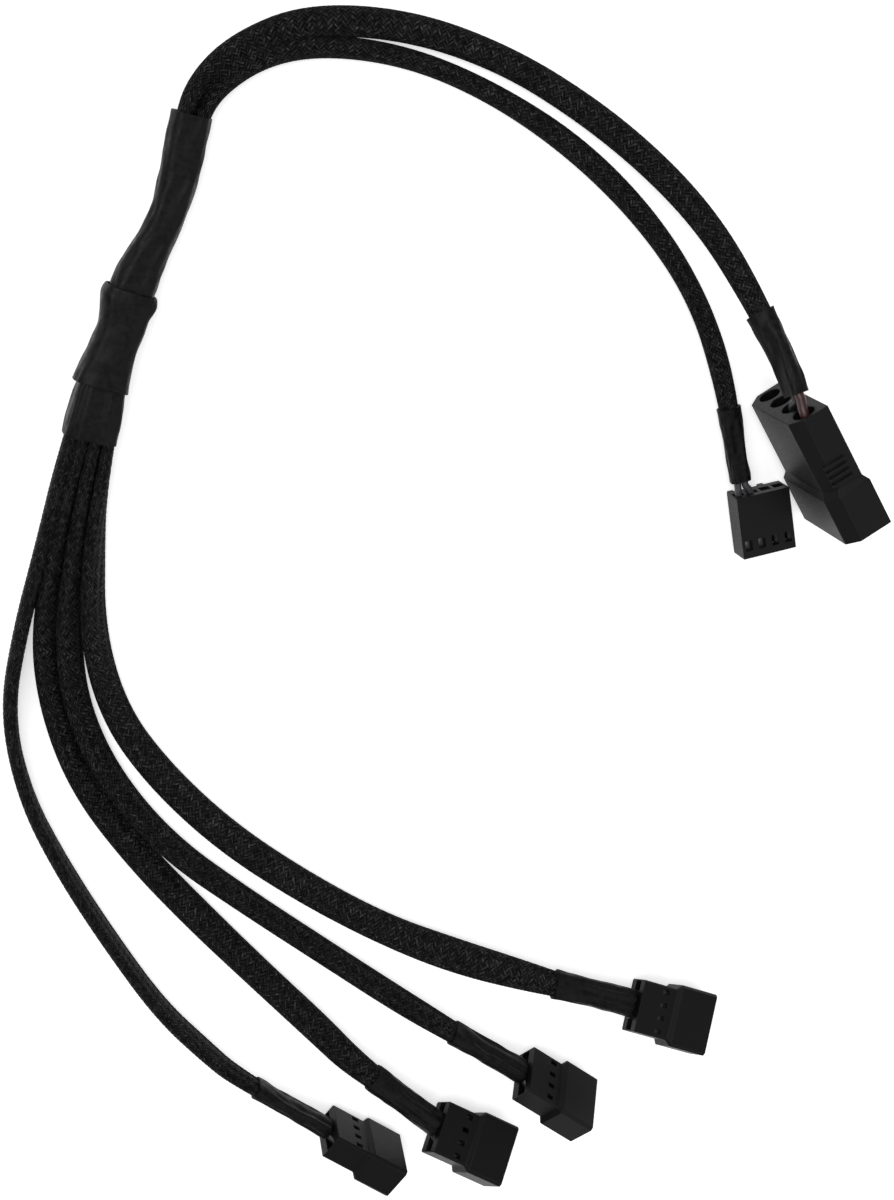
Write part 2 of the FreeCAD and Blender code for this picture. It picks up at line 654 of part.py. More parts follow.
def connector_wires(name):
    """The bare wires between a collar and its connector."""
    base, (across, _, forward) = connector(name)
    front, (row, _, ahead) = collar_axis(name)
    heavy = name == "power"
    pitch, spread, diameter = ("power_pitch", "power_row", "power_wire") if heavy else (
        "contact_pitch", "wire_row", "signal_wire")
    straight = size("power_straight" if heavy else "wire_straight")
    if name.startswith("fan"):
        depth = size("throat_depth")
        bend = depth - straight
    else:
        depth = size("power_start" if heavy else "contact_start")
        bend = 0.0
    wired = WIRED[name]
    tubes = []
    for index, position in enumerate(wired):
        shift = (index - (len(wired) - 1) / 2) * size(spread)
        inlet = base + across * value_of(contact_x(position, pitch))
        start = front + row * shift
        points = [start, start + ahead * straight, inlet + forward * bend, inlet + forward * depth]
        tubes.append(tube(f"{name}_wire_{position}", points, diameter)[0])
    group = doc.addObject("Part::Compound", f"{name}_wires")
    group.Links = tubes
    doc.recompute()
    owner = f"fan_socket_{name[-1]}" if name.startswith("fan") else f"{name}_plug"
    publish(f"{owner}_wires", group)


def collar(name):
    """A heat-shrunk collar, round over the lead and flat over the wires."""
    front, directions = collar_axis(name)
    ahead = directions[2]
    lead, length = lead_of(name), size(collar_of(name))
    spread, wire = ("power_row", "power_wire") if name == "power" else ("wire_row", "signal_wire")
    round_end = f"({lead} + 2 * collar_wall)"
    flat_end = f"({len(WIRED[name]) - 1} * {spread} + {wire} + 2 * collar_side)"
    stations = (
        ("rear", length, round_end, round_end),
        ("seat", length - size("collar_seat"), round_end, round_end),
        ("front", 0.0, flat_end, "collar_thickness"),
    )
    sections = []
    for station, distance, width, height in stations:
        if value_of(width) < value_of(height):
            width, height = height, width
        place = placement(front - ahead * distance, directions)
        sections.append(oval(f"{name}_collar_{station}", width, height, place))
    shell = ruled_loft(f"{name}_collar_shell", sections)
    seat = cylinder(f"{name}_collar_seat", lead, "collar_seat", placement(front - ahead * length, directions))
    label = f"fan_lead_{name[-1]}_collar" if name.startswith("fan") else f"{name}_lead_collar"
    cut(label, shell, seat)


def trunk_frame():
    """Top point of the splice sleeve, with its downward and rightward directions."""
    yaw = math.radians(size("trunk_yaw"))
    down = Vector(math.cos(yaw), math.sin(yaw), 0)
    return on_table(size("trunk_x"), size("trunk_y")), down, down.cross(UP) * -1


def upper_height():
    return value_of(f"{OVAL_HEIGHT} / 2 + 2 * sleeve_wall + sleeve_gap")


def lower_height():
    return value_of(f"{LOWER_BORE} / 2 + 2 * sleeve_wall + sleeve_gap")


def offset_points(points, shift):
    """The points of a flat route moved sideways, so that each run stays parallel."""
    runs = [(after - before).normalize() for before, after in zip(points, points[1:])]
    sides = [UP.cross(run) for run in runs]
    moved = [points[0] + sides[0] * shift]
    for number, point in enumerate(points[1:-1]):
        bisector = (sides[number] + sides[number + 1]).normalize()
        moved.append(point + bisector * (shift / bisector.dot(sides[number])))
    return moved + [points[-1] + sides[-1] * shift]


def feed_line():
    """The middle line of the upper sleeve, from the splices to the turn beyond its top."""
    top, down, _ = trunk_frame()
    height = UP * upper_height()
    bends = [on_table(*point) + height for point in ROUTES["upper_sleeve"]]
    return [top + down * size("upper_overlap") + height, top - down * size("oval_straight") + height] + bends


def lead_points(name):
    """The whole route of a lead, from the splices to its seat in the collar."""
    top, down, right = trunk_frame()
    if name in ("power", "header"):
        side, other = (1, "header_lead") if name == "power" else (-1, "power_lead")
        start = offset_points(feed_line(), side * (size(other) + size("bundle_gap")) / 2)
    else:
        side, level = SLOTS[name]
        shift = value_of(f"{LEAD_SPACING} / 2")
        entry = value_of("upper_overlap + splice_length")
        leave = value_of("splice_sleeve - lower_overlap + lower_sleeve + fan_straight")
        aside = right * (side * shift) + UP * (lower_height() + level * shift)
        start = [top + down * station + aside for station in (entry, leave)]
    front, (_, _, ahead) = collar_axis(name)
    end = front - ahead * value_of(f"{collar_of(name)} - collar_seat")
    return start + [on_table(*point) for point in ROUTES[name]] + [end - ahead * size("last_run"), end]


def lead(name):
    label = f"fan_lead_{name[-1]}" if name.startswith("fan") else f"{name}_lead"
    sweep, radii = tube(f"{name}_lead_tube", lead_points(name), lead_of(name))
    length = sweep.Spine[0].Shape.Length
    print(label, f"length {length:.1f}", "radii", " ".join(f"{radius:.0f}" for radius in radii))
    publish(label, sweep)


# Trunk

def upper_sleeve():
    """The oval sleeve over the two feed leads."""
    line = feed_line()
    run = (line[-1] - line[-2]).normalize()
    path = line[:-1] + [line[-1] - run * size("oval_inset")]
    spine, _ = spine_of("upper_sleeve", path)
    start = (path[1] - path[0]).normalize()
    place = placement(path[0], (UP.cross(start), start.cross(UP.cross(start)), start))
    grown = f"({OVAL_WIDTH} + 2 * sleeve_wall)", f"({OVAL_HEIGHT} + 2 * sleeve_wall)"
    shell = sweep_along("upper_shell", spine, oval("upper_outer", *grown, place))
    bore = sweep_along("upper_bore", spine, oval("upper_inner", OVAL_WIDTH, OVAL_HEIGHT, place))
    cut("trunk_upper_sleeve", shell, bore)


def splice_sleeve():
    """The wider sleeve over the splices, narrow at the feed end."""
    top, down, right = trunk_frame()
    neck, flare, length = size("splice_neck"), size("splice_flare"), size("splice_sleeve")
    stations = ((0.0, "upper"), (neck, "upper"), (neck + flare, "lower"), (length, "lower"))
    shells = []
    layers = (("outer", "2 * (2 * sleeve_wall + sleeve_gap)"), ("inner", "2 * (sleeve_wall + sleeve_gap)"))
    for layer, extra in layers:
        sections = []
        for number, (station, end) in enumerate(stations):
            width, height = (OVAL_WIDTH, OVAL_HEIGHT) if end == "upper" else (LOWER_BORE, LOWER_BORE)
            rise = upper_height() if end == "upper" else lower_height()
            place = placement(top + down * station + UP * rise, (right, down.cross(right), down))
            grown = f"({width} + {extra})", f"({height} + {extra})"
            sections.append(oval(f"splice_{layer}_{number}", *grown, place))
        shells.append(ruled_loft(f"splice_{layer}", sections))
    cut("trunk_splice_sleeve", *shells)


def lower_sleeve():
    """The round sleeve over the starts of the four fan leads."""
    top, down, right = trunk_frame()
    base = top + down * value_of("splice_sleeve - lower_overlap") + UP * lower_height()
    place = placement(base, (right, down.cross(right), down))
    outer = cylinder("lower_outer", f"({LOWER_BORE} + 2 * sleeve_wall)", "lower_sleeve", place)
    inner = cylinder("lower_inner", LOWER_BORE, "lower_sleeve", place)
    cut("trunk_lower_sleeve", outer, inner)


def splices():
    """Three splice barrels side by side and the speed signal wire over them."""
    top, down, right = trunk_frame()
    base = top + down * size("upper_overlap") + UP * upper_height()
    directions = (right, down.cross(right), down)
    pitch = value_of("splice_barrel + bundle_gap")
    for name, step in (("supply_splice", -1), ("ground_splice", 0), ("pwm_splice", 1)):
        place = placement(base + right * (step * pitch), directions)
        publish(name, cylinder(f"{name}_barrel", "splice_barrel", "splice_length", place))
    touch = value_of("(splice_barrel + tach_wire) / 2 + bundle_gap")
    aside = right * (pitch / 2) + UP * math.sqrt(touch ** 2 - (pitch / 2) ** 2)
    signal = cylinder("tach_run", "tach_wire", "splice_length", placement(base + aside, directions))
    publish("tach_wire", signal)


def check_and_write():
    doc.recompute()
    for item in doc.Objects:
        if {"Invalid", "Error"} & set(item.State):
            raise ValueError(f"{item.Name} failed: {item.State}")
    os.makedirs("parts", exist_ok=True)
    for label, piece in pieces.items():
        shape = piece.Shape
        if shape.isNull() or not shape.isValid() or not shape.Solids:
            raise ValueError(f"{label} has no sound solid")
        shape.exportStep(os.path.join("parts", f"{label}.step"))


fill_sheet()
header_plug()
power_plug()
for connector_name in PLACES:
    if connector_name.startswith("fan"):
        fan_socket(connector_name)
    connector_wires(connector_name)
    collar(connector_name)
    lead(connector_name)
upper_sleeve()
splice_sleeve()
lower_sleeve()
splices()
check_and_write()
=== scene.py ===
import math

import bmesh
import bpy
from bpy.props import FloatProperty, FloatVectorProperty, IntProperty, PointerProperty
from mathutils import Matrix, Vector, noise


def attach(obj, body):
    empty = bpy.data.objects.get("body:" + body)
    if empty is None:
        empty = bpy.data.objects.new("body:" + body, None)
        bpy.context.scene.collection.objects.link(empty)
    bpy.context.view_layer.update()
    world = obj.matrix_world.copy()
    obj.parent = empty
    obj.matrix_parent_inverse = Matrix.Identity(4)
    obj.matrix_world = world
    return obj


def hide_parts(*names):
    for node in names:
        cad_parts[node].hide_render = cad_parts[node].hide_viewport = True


# The cable as it is photographed: six flat braided leads, a heat-shrunk trunk and collars,
# moulded housings with their contacts, on a white table. Metres, +Z up.

bl_info = {
    "name": "Fan splitter cable",
    "version": (1, 0, 0),
    "blender": (4, 5, 0),
    "location": "3D Viewport > Sidebar > Cable",
    "description": "Builds a fan splitter cable over its CAD frame",
    "category": "Object",
}

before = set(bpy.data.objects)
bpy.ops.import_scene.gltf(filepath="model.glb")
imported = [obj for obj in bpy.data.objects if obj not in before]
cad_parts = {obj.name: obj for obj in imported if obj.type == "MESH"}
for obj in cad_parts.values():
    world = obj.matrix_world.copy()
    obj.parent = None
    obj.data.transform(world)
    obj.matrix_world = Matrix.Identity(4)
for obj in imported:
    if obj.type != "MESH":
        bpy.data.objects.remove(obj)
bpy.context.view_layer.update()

MM = 0.001
UP = Vector((0.0, 0.0, 1.0))
# Places below are in millimetres from this point of the frame
DATUM = Vector((-3.9, 14.84, 0.0))

# Leads from the trunk to their collars: x, y, z in mm, roll of the flat side in degrees,
# parts of the full width and thickness
ROUTES = {
    "power_lead": [
        (-56.6, 55.2, 3.3, 90, 0.8, 0.85), (-54.8, 60.6, 3.2, 90, 0.8, 0.85),
        (-50.0, 68.8, 3.1, 90, 0.8, 0.85), (-46.6, 77.0, 3.0, 85, 0.85, 0.9),
        (-45.0, 84.6, 2.9, 75, 0.9, 0.95), (-42.2, 91.0, 2.7, 45, 1.0, 1.0),
        (-35.4, 96.8, 2.2, 25, 1.0, 1.0), (-23.5, 101.0, 1.56, 8, 1.0, 1.0),
        (-6.4, 99.7, 1.4, 0, 1.0, 1.0), (10.0, 93.9, 1.4, 0, 0.94, 1.0),
        (24.5, 85.2, 1.4, 0, 1.0, 1.0), (36.3, 75.8, 2.4, 0, 1.0, 1.0),
        (45.1, 66.2, 5.0, 5, 0.95, 1.0), (51.4, 55.5, 8.8, 12, 0.88, 1.0),
        (54.7, 47.7, 12.2, 20, 0.75, 1.0),
    ],
    "header_lead": [
        (-54.3, 54.4, 3.3, -90, 0.85, 0.9), (-52.5, 59.7, 3.2, -90, 0.85, 0.9),
        (-47.7, 67.6, 3.1, -90, 0.85, 0.9), (-44.3, 76.3, 3.0, -85, 0.9, 0.95),
        (-42.6, 84.2, 2.8, -75, 0.9, 0.95), (-39.6, 90.2, 2.4, -45, 0.95, 1.0),
        (-31.2, 95.5, 1.7, -20, 0.95, 1.0), (-20.5, 96.9, 1.23, -5, 0.9, 1.0),
        (-6.0, 94.5, 1.16, 0, 0.84, 1.0), (8.5, 88.2, 1.16, 0, 0.88, 1.0),
        (23.0, 78.7, 1.16, 0, 1.07, 1.0), (35.9, 66.2, 1.2, 0, 1.02, 1.0),
        (45.2, 52.6, 1.6, 0, 0.88, 1.0), (50.5, 37.8, 2.4, 0, 1.0, 1.0),
        (52.0, 28.9, 2.9, 0, 0.8, 1.0),
    ],
    "fan_lead_1": [
        (-57.1, 44.4, 3.8, -90, 0.7, 0.7), (-60.0, 30.0, 3.4, -90, 0.85, 0.95),
        (-62.15, 17.0, 2.8, -62, 1.0, 1.0), (-63.35, 0.0, 2.45, -46, 0.98, 1.0),
        (-60.2, -15.1, 1.97, -28, 0.93, 1.0), (-52.8, -27.4, 1.9, -24, 0.97, 1.0),
        (-41.3, -40.5, 1.8, -22, 0.98, 0.95), (-27.2, -52.1, 1.8, -22, 0.97, 0.95),
        (-12.9, -61.8, 2.2, -22, 0.96, 1.0), (0.5, -68.1, 4.2, -24, 1.1, 1.0),
        (15.1, -73.9, 5.3, -24, 0.93, 1.0), (23.3, -77.2, 5.3, -24, 0.7, 0.95),
    ],
    "fan_lead_2": [
        (-58.6, 44.8, 3.8, -90, 0.8, 0.7), (-62.2, 30.4, 3.5, -80, 0.9, 1.0),
        (-65.1, 16.0, 2.8, -62, 1.0, 1.0), (-67.4, 1.0, 2.4, -44, 1.0, 1.0),
        (-66.8, -13.0, 2.45, -46, 1.0, 1.0), (-61.6, -27.0, 2.57, -52, 1.0, 1.0),
        (-51.8, -41.0, 2.67, -57, 1.0, 0.97), (-38.1, -53.2, 2.5, -57, 0.93, 0.93),
        (-24.1, -64.8, 2.7, -57, 0.93, 0.93), (-12.0, -74.2, 4.6, -57, 0.93, 1.0),
        (-4.4, -79.8, 5.8, -56, 0.85, 1.0), (2.8, -85.2, 6.1, -56, 0.68, 0.95),
    ],
    "fan_lead_3": [
        (-60.1, 45.3, 3.8, -90, 0.8, 0.7), (-64.4, 30.8, 3.5, -80, 0.9, 1.0),
        (-68.2, 16.0, 2.8, -60, 1.0, 1.0), (-71.4, 1.0, 2.3, -42, 0.97, 1.0),
        (-70.6, -13.0, 2.25, -40, 0.95, 1.0), (-66.2, -27.6, 2.2, -38, 0.95, 1.0),
        (-57.5, -41.6, 2.13, -34, 0.97, 1.0), (-46.8, -55.3, 2.07, -30, 1.0, 1.0),
        (-35.8, -68.4, 2.2, -30, 0.95, 1.0), (-25.2, -80.2, 3.8, -32, 0.97, 1.0),
        (-19.4, -86.9, 5.4, -32, 0.88, 1.0), (-12.8, -93.0, 5.5, -32, 0.68, 0.95),
    ],
    "fan_lead_4": [
        (-61.6, 45.7, 3.8, -90, 0.7, 0.7), (-66.4, 31.2, 3.4, -86, 0.85, 1.0),
        (-70.6, 16.4, 3.0, -80, 1.0, 1.0), (-75.3, 1.6, 3.0, -82, 1.0, 0.93),
        (-78.5, -13.2, 3.0, -84, 1.0, 0.9), (-76.2, -28.8, 3.0, -82, 1.0, 0.88),
        (-70.3, -43.2, 3.0, -78, 1.0, 0.88), (-62.8, -57.8, 3.0, -78, 1.0, 0.88),
        (-54.4, -72.4, 3.2, -78, 1.0, 0.88), (-46.4, -81.4, 4.6, -78, 1.0, 0.92),
        (-41.9, -86.0, 5.6, -80, 0.86, 0.88), (-34.8, -91.5, 5.9, -80, 0.68, 0.8),
    ],
}

# Heat-shrunk pieces: x, y, z in mm, roll in degrees, half width and half height in mm
SLEEVES = {
    "trunk_upper_sleeve": [
        (-55.6, 54.8, 3.4, 0, 3.7, 2.9), (-53.9, 59.2, 3.3, 0, 4.05, 3.0),
        (-51.4, 64.0, 3.2, 0, 3.4, 2.8), (-48.4, 69.2, 3.1, 0, 2.95, 2.7),
        (-46.4, 74.2, 3.0, 0, 3.25, 2.7), (-45.0, 79.5, 2.9, 0, 3.45, 2.7),
        (-43.8, 84.6, 2.9, 0, 3.5, 2.7), (-43.3, 86.4, 2.9, 0, 3.5, 2.7),
    ],
    "trunk_splice_sleeve": [
        (-54.2, 58.4, 3.6, 0, 4.3, 3.4), (-54.5, 57.6, 3.6, 0, 4.65, 3.5),
        (-54.9, 56.5, 3.6, 0, 4.7, 3.6), (-55.6, 54.6, 3.6, 0, 4.1, 3.5),
        (-56.4, 52.0, 3.6, 0, 3.7, 3.5), (-57.9, 48.6, 3.7, 0, 3.8, 3.6),
        (-59.3, 45.2, 3.8, 0, 4.35, 3.8), (-60.1, 42.8, 3.9, 0, 4.7, 3.8),
    ],
    "trunk_lower_sleeve": [
        (-58.6, 46.6, 3.8, 0, 3.3, 2.7), (-59.7, 43.4, 3.8, 0, 4.05, 3.1),
        (-60.7, 40.2, 3.8, 0, 4.45, 3.4), (-61.5, 37.0, 3.8, 0, 4.6, 3.5),
        (-62.3, 34.2, 3.7, 0, 4.65, 3.4),
    ],
    "fan_lead_1_collar": [
        (19.6, -75.7, 5.3, -24, 2.78, 1.6), (20.6, -76.1, 5.3, -24, 2.75, 1.6),
        (24.5, -77.6, 5.3, -24, 2.65, 1.5), (28.6, -79.2, 5.3, -24, 2.7, 1.5),
        (32.3, -80.6, 5.3, -24, 2.8, 1.5), (35.2, -81.8, 5.3, -24, 2.8, 1.5),
    ],
    "fan_lead_2_collar": [
        (-0.4, -82.8, 5.9, -56, 2.52, 1.6), (0.4, -83.4, 6.0, -56, 2.5, 1.6),
        (3.5, -85.7, 6.1, -56, 2.4, 1.5), (6.8, -88.1, 6.2, -56, 2.4, 1.5),
        (10.2, -90.6, 6.4, -56, 2.5, 1.5), (13.1, -92.7, 6.5, -56, 2.6, 1.6),
    ],
    "fan_lead_3_collar": [
        (-15.7, -90.3, 5.4, -32, 2.6, 1.6), (-15.0, -91.0, 5.4, -32, 2.6, 1.6),
        (-12.0, -93.8, 5.5, -32, 2.5, 1.5), (-9.2, -96.5, 5.6, -32, 2.5, 1.5),
        (-6.2, -99.3, 5.7, -32, 2.5, 1.5), (-3.7, -101.8, 5.7, -32, 2.6, 1.6),
    ],
    "fan_lead_4_collar": [
        (-37.9, -89.1, 5.8, -80, 2.52, 1.48), (-37.1, -89.7, 5.8, -80, 2.5, 1.42),
        (-34.0, -92.1, 5.9, -80, 2.4, 1.34), (-30.9, -94.5, 6.1, -80, 2.4, 1.34),
        (-27.7, -96.9, 6.2, -80, 2.4, 1.36), (-24.7, -99.2, 6.3, -80, 2.5, 1.45),
    ],
    "header_lead_collar": [
        (51.3, 32.8, 2.7, 0, 2.2, 1.6), (51.5, 31.8, 2.7, 0, 2.1, 1.5),
        (52.3, 27.6, 2.9, 0, 2.05, 1.4), (53.1, 23.4, 3.1, 0, 2.0, 1.4),
        (53.9, 19.2, 3.4, 0, 2.0, 1.4),
    ],
    "power_lead_collar": [
        (53.2, 51.1, 10.7, 15, 2.6, 1.9), (53.6, 50.2, 11.1, 18, 2.5, 1.8),
        (55.1, 46.8, 12.6, 30, 2.4, 1.8), (56.8, 42.5, 14.4, 55, 2.4, 1.8),
        (58.1, 38.7, 15.9, 75, 2.5, 1.8), (58.4, 37.6, 16.3, 80, 2.5, 1.8),
    ],
}

# Leads or wires side by side that show through a heat-shrunk piece
RIDGES = {
    "trunk_upper_sleeve": 2, "trunk_lower_sleeve": 4,
    "power_lead_collar": 2, "header_lead_collar": 2,
    "fan_lead_1_collar": 4, "fan_lead_2_collar": 3,
    "fan_lead_3_collar": 3, "fan_lead_4_collar": 3,
}

# How round a section is: 1 is an ellipse, less is boxier
ROUNDNESS = {"trunk_lower_sleeve": 0.58, "trunk_splice_sleeve": 0.62}
PLAIN_ROUNDNESS = 0.78
LEAD_ROUNDNESS = 0.85

# Rings from one point to the next, and sides of a ring
LEAD_STEPS, LEAD_SIDES = 66, 80
SLEEVE_STEPS, SLEEVE_SIDES = 12, 72

# Braid: filaments in a strand, and the part of its height that lies under the plain surface
FILAMENTS = 4
STRAND_SINK = 0.6
# Painted shine in the braid's colour, standing in for glints, of a filament and of a stretch of
# strand: range and least
FILAMENT_PAINTED_SHINE, STRETCH_PAINTED_SHINE = (1.5, 0.25), (1.1, 0.45)
# Painted shade from filament to filament, darker between them: swing and mean
FILAMENT_PAINTED_SHADE = (0.25, 1.1)
# A filament's height over a strand's crown, and how fast the painted shade darkens the crown's
# colour to its edges
FILAMENT_HEIGHT, PAINTED_SHADE_FALL = 0.12, 1.2
# Painted glints in the braid's colour: how rare they are and how bright
PAINTED_GLINT_RARITY, PAINTED_GLINT_SHINE = 9.0, 2.0

# Heat shrink: how close the wrinkles are along a piece in metres, round it and aslant
WRINKLES_ALONG, WRINKLES_ROUND, WRINKLES_ASLANT = 300.0, 2.2, 0.8
# The part of a collar after which its ridges are full, and how fast they rise to that
RIDGE_FULL, RIDGE_RISE = 0.4, 5.0
# The part of the wall by which a rim is rounded
RIM_PART = 0.3

# Points this near are one point, in metres
WELD = 1e-6
# Angles between faces: under FLAT they are joined, over EDGE their edge is rounded,
# over CREASE it is sharp, over RIM it is a sleeve's rim
FLAT, EDGE, CREASE, RIM = (math.radians(angle) for angle in (1.0, 25.0, 40.0, 50.0))

TRUNK = [name for name in SLEEVES if name.startswith("trunk_")]
COLLARS = [name for name in SLEEVES if name.endswith("_collar")]
SOCKETS = [f"fan_socket_{number}" for number in range(1, 5)]
HOUSINGS = ["power_plug_housing", "header_plug_housing"] + [f"{name}_housing" for name in SOCKETS]
CONTACTS = ["power_plug_pins", "header_plug_terminals"] + [f"{name}_pins" for name in SOCKETS]
BLACK_WIRES = [f"{name}_wires" for name in SOCKETS] + ["tach_wire"]
SPLICES = ["supply_splice", "ground_splice", "pwm_splice"]

# Table: its half side and its depth under the cable in metres, and how much it glows
TABLE_HALF, TABLE_DEPTH, TABLE_GLOW = 3.0, 0.0002, 0.5
# Lamps: name, place and size in metres, watts
LAMPS = (
    ("Key", (-0.5, 0.45, 1.1), 0.9, 9.5),
    ("Fill", (0.7, -0.5, 0.9), 1.0, 3.0),
)
SKY_STRENGTH = 0.42
# Camera: its place, its right, up and backward directions, its lens, its range in metres
CAMERA_PLACE = (-96.95, 118.45, 369.55)
CAMERA_AXES = (
    (0.96727, 0.0, 0.25377),
    (0.07515, 0.95515, -0.28644),
    (-0.2424, 0.2961, 0.9239),
)
LENS_MM, SENSOR_MM = 67.2, 36.0
CLIP_NEAR, CLIP_FAR = 0.01, 20.0


def length(label, note, value):
    return FloatProperty(
        name=label, description=note, default=value, min=0.0, precision=5, unit="LENGTH")


def colour(label, note, value):
    return FloatVectorProperty(
        name=label, description=note, default=value, min=0.0, max=1.0, size=3, subtype="COLOR")


class CableSizes(bpy.types.PropertyGroup):
    """Sizes of the soft pieces and of the moulded edges."""

    fan_width: length("Fan lead width", "Flat width of a fan lead", 0.0059)
    fan_thickness: length("Fan lead thickness", "Thickness of a fan lead", 0.0024)
    power_width: length("Power lead width", "Flat width of the power lead", 0.005)
    power_thickness: length("Power lead thickness", "Thickness of the power lead", 0.0026)
    header_width: length("Header lead width", "Flat width of the header lead", 0.004)
    header_thickness: length("Header lead thickness", "Thickness of the header lead", 0.0021)
    strand_pitch: length("Strand pitch", "Braid repeat along a lead", 0.0008)
    strand_relief: length("Strand relief", "Height of a braid strand", 0.00011)
    lead_ridge: length("Lead ridge", "Height of a wire's ridge in a lead", 0.00016)
    strands: IntProperty(
        name="Strands", description="Braid strands one way round", default=20, min=4)
    shrink_wall: length("Shrink wall", "Wall of the heat-shrunk pieces", 0.00045)
    shrink_wrinkle: length("Shrink wrinkle", "Height of a wrinkle in a heat-shrunk piece", 0.00022)
    shrink_ridge: length("Shrink ridge", "Height of a wire's ridge in a heat-shrunk piece", 0.00012)
    edge_radius: length("Edge radius", "Rounding of the moulded edges", 0.00018)
    contact_edge: length("Contact edge", "Rounding of the contacts", 0.00006)


class CableColours(bpy.types.PropertyGroup):
    """Colours of the cable."""

    braid: colour("Braid", "Braided sleeve", (0.0132, 0.0132, 0.0136))
    shrink: colour("Shrink", "Heat-shrunk pieces", (0.0042, 0.0043, 0.0044))
    nylon: colour("Nylon", "Moulded housings", (0.004, 0.004, 0.0042))
    wire: colour("Wire", "Black wire insulation", (0.008, 0.008, 0.0085))
    header_wire: colour("Header wire", "Header plug's wire insulation", (0.05, 0.05, 0.055))
    supply_wire: colour("Supply wire", "Supply wire insulation", (0.035, 0.008, 0.009))
    tin: colour("Tin", "Tinned contacts", (0.26, 0.256, 0.245))
    floor: colour("Floor", "Table", (0.9, 0.9, 0.9))


# Materials

def node(tree, kind, *values, **settings):
    """A node with its settings, and its inputs from values or from other nodes' outputs."""
    item = tree.nodes.new(kind)
    for key, value in settings.items():
        setattr(item, key, value)
    for socket, value in zip(item.inputs, values):
        if isinstance(value, bpy.types.NodeSocket):
            tree.links.new(value, socket)
        elif value is not None:
            socket.default_value = value
    return item


def maths(tree, operation, *values):
    return node(tree, "ShaderNodeMath", *values, operation=operation).outputs[0]


def blank(name, shade, roughness, specular=0.5):
    """A material with a plain surface, and its tree and shader."""
    material = bpy.data.materials.new(name)
    material.use_nodes = True
    tree = material.node_tree
    shader = tree.nodes["Principled BSDF"]
    shader.inputs["Base Color"].default_value = (*shade, 1.0)
    shader.inputs["Roughness"].default_value = roughness
    shader.inputs["Specular IOR Level"].default_value = specular
    return material, tree, shader


def emboss(tree, shader, height, strength, distance):
    """A bump on a shader."""
    bump = node(tree, "ShaderNodeBump")
    bump.inputs["Strength"].default_value = strength
    bump.inputs["Distance"].default_value = distance
    tree.links.new(height, bump.inputs["Height"])
    tree.links.new(bump.outputs["Normal"], shader.inputs["Normal"])


def grain(tree, shader, scale, strength, distance):
    """A fine uneven bump on a shader, and its pattern."""
    place = node(tree, "ShaderNodeTexCoord").outputs["Object"]
    pattern = node(tree, "ShaderNodeTexNoise", place)
    pattern.inputs["Scale"].default_value = scale
    pattern.inputs["Detail"].default_value = 4.0
    emboss(tree, shader, pattern.outputs["Fac"], strength, distance)
    return pattern.outputs["Fac"]


def spread(tree, pattern, before, after):
    """A pattern whose values before run over the values after."""
    return node(tree, "ShaderNodeMapRange", pattern, *before, *after).outputs[0]


def mottle(tree, shader, shade, factor):
    """A colour that a pattern makes darker and lighter."""
    tint = node(tree, "ShaderNodeMix", data_type="RGBA", blend_type="MULTIPLY")
    tint.inputs["Factor"].default_value = 1.0
    tint.inputs[6].default_value = (*shade, 1.0)
    tree.links.new(factor, tint.inputs[7])
    tree.links.new(tint.outputs[2], shader.inputs["Base Color"])


def braid_material(colours):
    """Flat strands of fine filaments, two over and two under, with painted glints and painted shade
    in their colour.
    """
    material, tree, shader = blank("Braid", colours.braid, roughness=0.5, specular=0.05)

    def times(*values):
        return maths(tree, "MULTIPLY", *values)

    def times_plus(*values):
        return maths(tree, "MULTIPLY_ADD", *values)

    def dice(*cell):
        cell = node(tree, "ShaderNodeCombineXYZ", *cell).outputs[0]
        return node(tree, "ShaderNodeTexWhiteNoise", cell, noise_dimensions="3D").outputs["Value"]

    # The two ways that strands run, and which of them is on top
    turns = node(tree, "ShaderNodeUVMap", uv_map="Braid").outputs[0]
    turns = node(tree, "ShaderNodeSeparateXYZ", turns)
    first = maths(tree, "ADD", turns.outputs[0], turns.outputs[1])
    second = maths(tree, "SUBTRACT", turns.outputs[0], turns.outputs[1])
    cell_one, cell_two = maths(tree, "FLOOR", first), maths(tree, "FLOOR", second)
    part_one, part_two = maths(tree, "FRACT", first), maths(tree, "FRACT", second)
    pairs = maths(tree, "FLOOR", times(maths(tree, "ADD", cell_one, cell_two), 0.5))
    over = maths(tree, "FLOORED_MODULO", pairs, 2.0)
    across = node(tree, "ShaderNodeMix", over, None, part_one, part_two).outputs[0]

    # A strand's crown and its filaments: each filament and each stretch of a strand has a painted
    # shine of its own in the colour, and a few filaments get a painted glint
    swell = maths(tree, "SINE", times(across, math.pi))
    fibres = maths(tree, "SINE", times(across, 2.0 * FILAMENTS * math.pi))
    filament = maths(tree, "FLOOR", times(across, float(FILAMENTS)))
    filament = times_plus(over, float(FILAMENTS), filament)
    stretch = dice(cell_one, cell_two, over)
    chance = dice(cell_one, cell_two, filament)
    painted_glint = times(maths(tree, "POWER", chance, PAINTED_GLINT_RARITY), PAINTED_GLINT_SHINE)
    painted_shine = maths(tree, "ADD", times_plus(chance, *FILAMENT_PAINTED_SHINE), painted_glint)
    painted_shine = times(painted_shine, times_plus(stretch, *STRETCH_PAINTED_SHINE))
    # Painted shade in the colour: darker towards a strand's edges and between its filaments, where
    # shade falls in the weave
    crown_painted_shade = maths(tree, "POWER", swell, PAINTED_SHADE_FALL)
    shade = times(crown_painted_shade, times_plus(fibres, *FILAMENT_PAINTED_SHADE))
    # The braid's colour carries the painted glints and the painted shade
    mottle(tree, shader, colours.braid, times(painted_shine, shade))
    height = times_plus(fibres, FILAMENT_HEIGHT, swell)
    emboss(tree, shader, height, strength=0.8, distance=0.00012)
    return material


